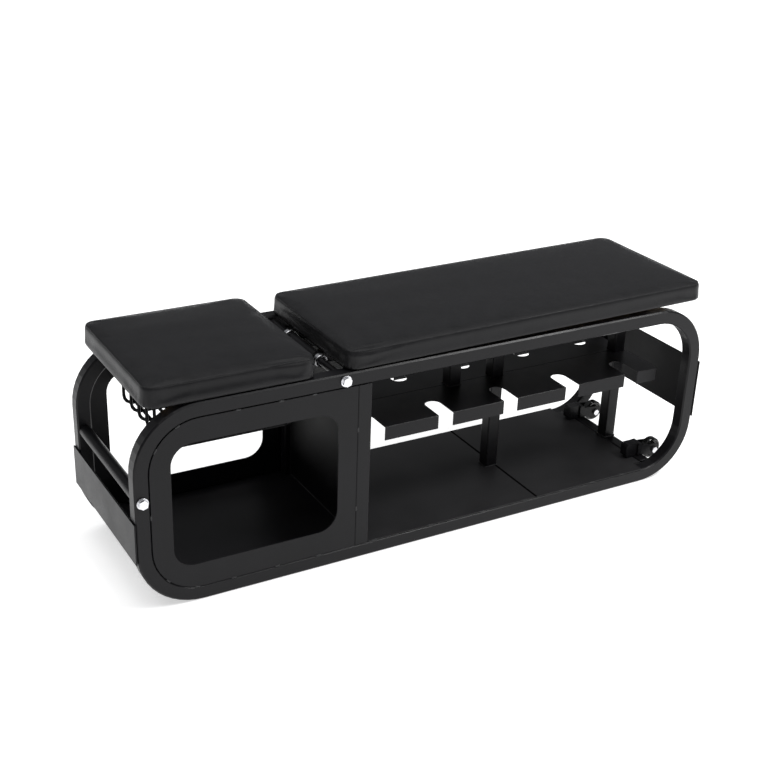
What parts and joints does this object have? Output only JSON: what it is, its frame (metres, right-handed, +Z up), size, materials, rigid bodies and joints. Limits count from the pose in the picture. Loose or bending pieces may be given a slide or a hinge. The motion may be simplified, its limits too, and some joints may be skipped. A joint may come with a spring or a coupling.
{
  "type": "adjustable storage weight bench",
  "caption": "Long low weight bench on two rounded tube loops, with a hinged seat and backrest, a storage cubby, a slotted dumbbell shelf and transport wheels.",
  "frame": {"origin": "centre of the footprint on the floor", "axes": "+X from the seat end to the wheel end, +Y away from the camera side, +Z up"},
  "size_m": [1.3466, 0.3776, 0.4773],
  "materials": {
    "frame_coat": "satin black powder coat",
    "sheet_coat": "satin black powder coat",
    "wire_coat": "satin black powder coat",
    "leatherette": "black grained leatherette",
    "plywood": "raw",
    "zinc": "bright zinc plate",
    "wheel_black": "glossy black"
  },
  "bodies": {
    "frame": {"side_frame_near": "frame_coat", "side_frame_far": "frame_coat", "upright_near": "frame_coat", "upright_far": "frame_coat", "cubby_panel_near": "sheet_coat", "cubby_panel_far": "sheet_coat", "handle_bolt_near": "zinc", "handle_bolt_far": "zinc", "shaft_bolt_near": "zinc", "shaft_bolt_far": "zinc", "shaft_collar_near": "zinc", "shaft_collar_far": "zinc", "rack_shelf_near": "sheet_coat", "rack_shelf_far": "sheet_coat", "caster_bracket_near": "frame_coat", "caster_bracket_far": "frame_coat", "caster_axle_near": "zinc", "caster_axle_far": "zinc", "partition_wall": "sheet_coat", "cubby_floor": "sheet_coat", "end_plate_left": "sheet_coat", "end_plate_right": "sheet_coat", "handle_tube": "frame_coat", "pivot_shaft": "frame_coat", "bay_floor_left": "sheet_coat", "bay_floor_right": "sheet_coat", "rack_post_left": "frame_coat", "rack_post_right": "frame_coat", "rack_stub_post": "frame_coat", "shelf_end_angle": "sheet_coat", "incline_rack": "frame_coat", "caster_crossbar": "frame_coat", "wire_basket": "wire_coat", "basket_hanger_left": "frame_coat", "basket_hanger_right": "frame_coat"},
    "seat": {"seat_rail_near": "frame_coat", "seat_rail_far": "frame_coat", "seat_hinge_lug_near": "frame_coat", "seat_hinge_lug_far": "frame_coat", "seat_cross_strap_left": "frame_coat", "seat_cross_strap_right": "frame_coat", "seat_board": "plywood", "seat_cushion": "leatherette"},
    "backrest": {"back_rail_near": "frame_coat", "back_rail_far": "frame_coat", "back_hinge_sleeve": "frame_coat", "back_cross_strap_left": "frame_coat", "back_cross_strap_right": "frame_coat", "prop_pivot_pin": "zinc", "back_board": "plywood", "back_cushion": "leatherette"},
    "prop": {"prop_arm_near": "frame_coat", "prop_arm_far": "frame_coat", "prop_foot_rod": "zinc"},
    "wheel_near": {"caster_wheel_near": "wheel_black"},
    "wheel_far": {"caster_wheel_far": "wheel_black"}
  },
  "joints": [
    {"name": "backrest_incline", "type": "hinge", "parent": "frame", "child": "backrest", "pos_m": [-0.24, 0, 0.405], "axis": [0, -1, 0], "range_deg": [0, 55]},
    {"name": "seat_lift", "type": "hinge", "parent": "frame", "child": "seat", "pos_m": [-0.24, 0, 0.405], "axis": [0, 1, 0], "range_deg": [0, 11]},
    {"name": "prop_swing", "type": "hinge", "parent": "backrest", "child": "prop", "pos_m": [0.09, 0, 0.405], "axis": [0, 1, 0], "range_deg": [0, 110]},
    {"name": "wheel_near_spin", "type": "hinge", "parent": "frame", "child": "wheel_near", "pos_m": [0.617, -0.1125, 0.042], "axis": [0, 1, 0], "continuous": true},
    {"name": "wheel_far_spin", "type": "hinge", "parent": "frame", "child": "wheel_far", "pos_m": [0.617, 0.1125, 0.042], "axis": [0, 1, 0], "continuous": true}
  ],
  "couplings": [
    {"joint": "prop_swing", "follows": "backrest_incline", "ratio": 2}
  ]
}
